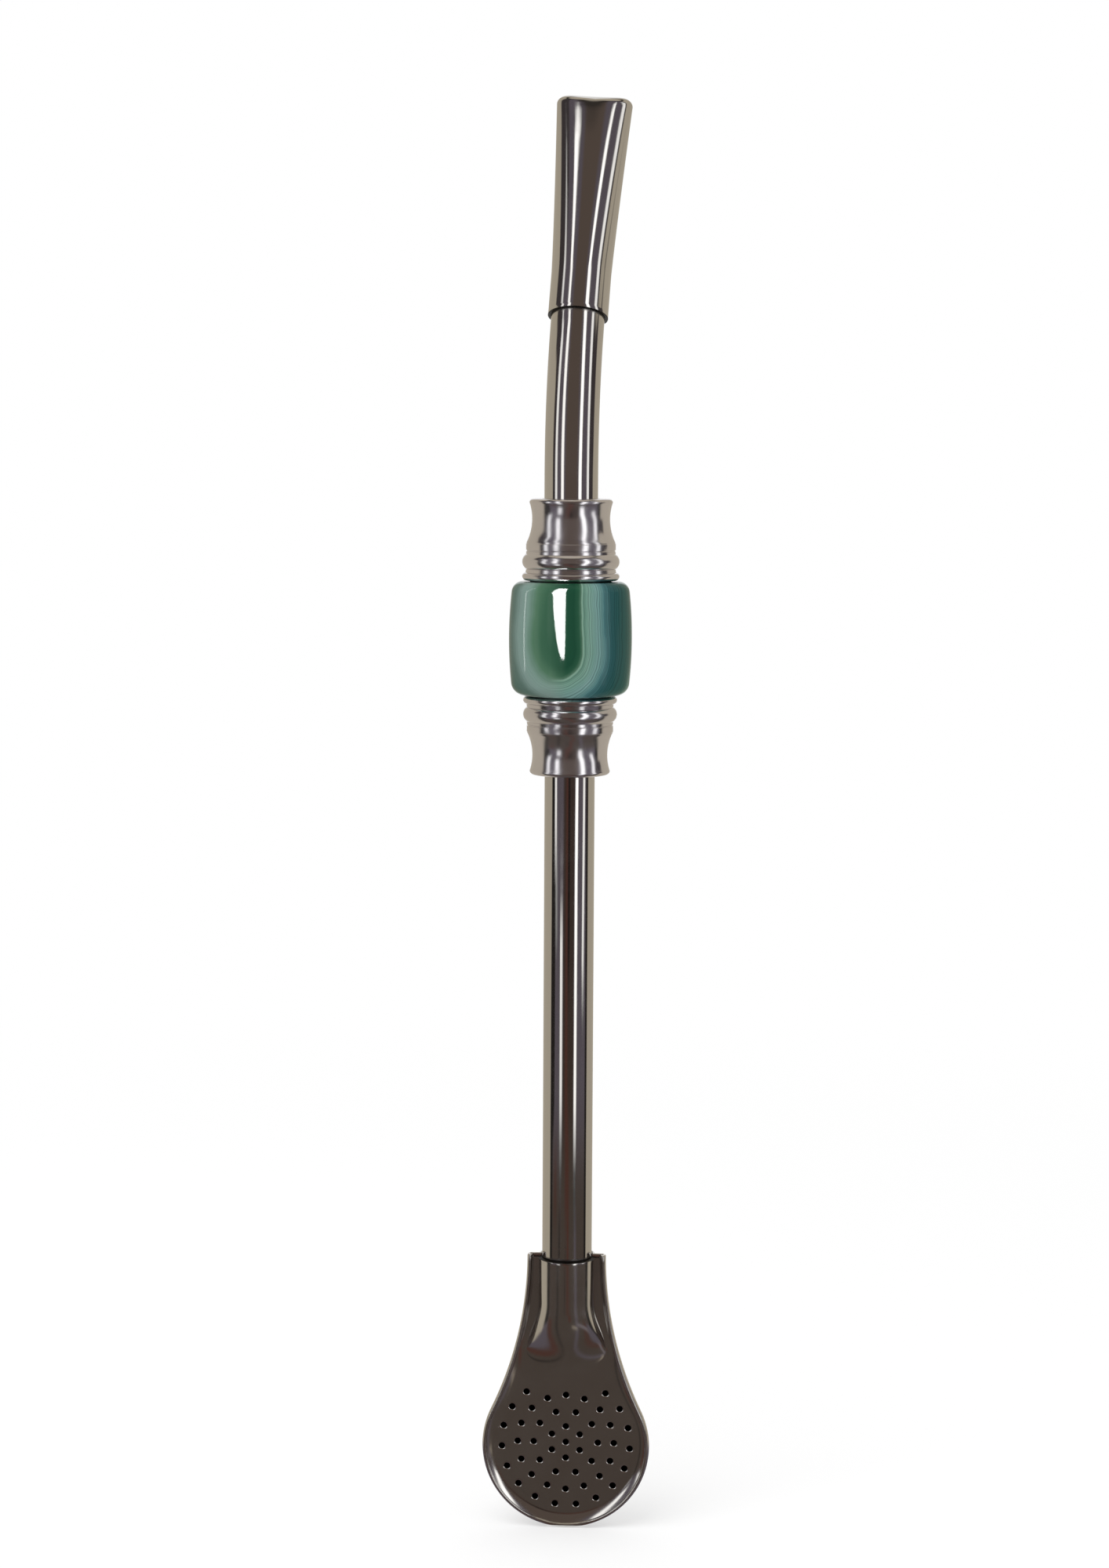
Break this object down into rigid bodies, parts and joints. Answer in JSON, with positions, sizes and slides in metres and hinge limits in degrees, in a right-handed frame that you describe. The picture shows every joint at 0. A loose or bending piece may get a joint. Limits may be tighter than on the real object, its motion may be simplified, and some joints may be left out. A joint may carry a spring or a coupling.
{
  "type": "bombilla",
  "caption": "Metal drinking straw for mate: flared mouthpiece on a bent tube, barrel stone bead between turned ferrules, straight lower tube and a perforated spoon filter with a rolled rim.",
  "frame": {"origin": "on the axis of the straight tube, at the height of the filter's lowest point", "axes": "+Z along the straight tube towards the mouthpiece, -Y the way the perforated face looks, the mouthpiece bends towards +Y and 8 degrees towards +X"},
  "size_m": [0.027, 0.0297, 0.2308],
  "materials": {
    "polished_steel": "mirror polished stainless steel",
    "turned_steel": "fine turned and polished stainless steel",
    "agate": "polished banded green agate",
    "seal": "matt black silicone"
  },
  "bodies": {
    "lower_section": {"filter_back": "polished_steel", "filter_front": "polished_steel", "lower_tube": "polished_steel", "lower_ferrule": "turned_steel", "lower_washer": "seal", "stone_bead": "agate"},
    "seal": {"seal_ring": "seal"},
    "upper_section": {"upper_ferrule": "turned_steel", "upper_tube": "polished_steel", "mouthpiece": "polished_steel"}
  },
  "joints": [
    {"name": "seal_lift", "type": "slide", "parent": "lower_section", "child": "seal", "axis": [0, 0, 1], "range_m": [0, 0.005]},
    {"name": "upper_turn", "type": "hinge", "parent": "seal", "child": "upper_section", "pos_m": [0, 0, 0.1537], "axis": [0, 0, 1], "range_deg": [0, 1800]}
  ],
  "couplings": [
    {"joint": "upper_turn", "follows": "seal_lift", "rad_per_m": 6283.2}
  ]
}
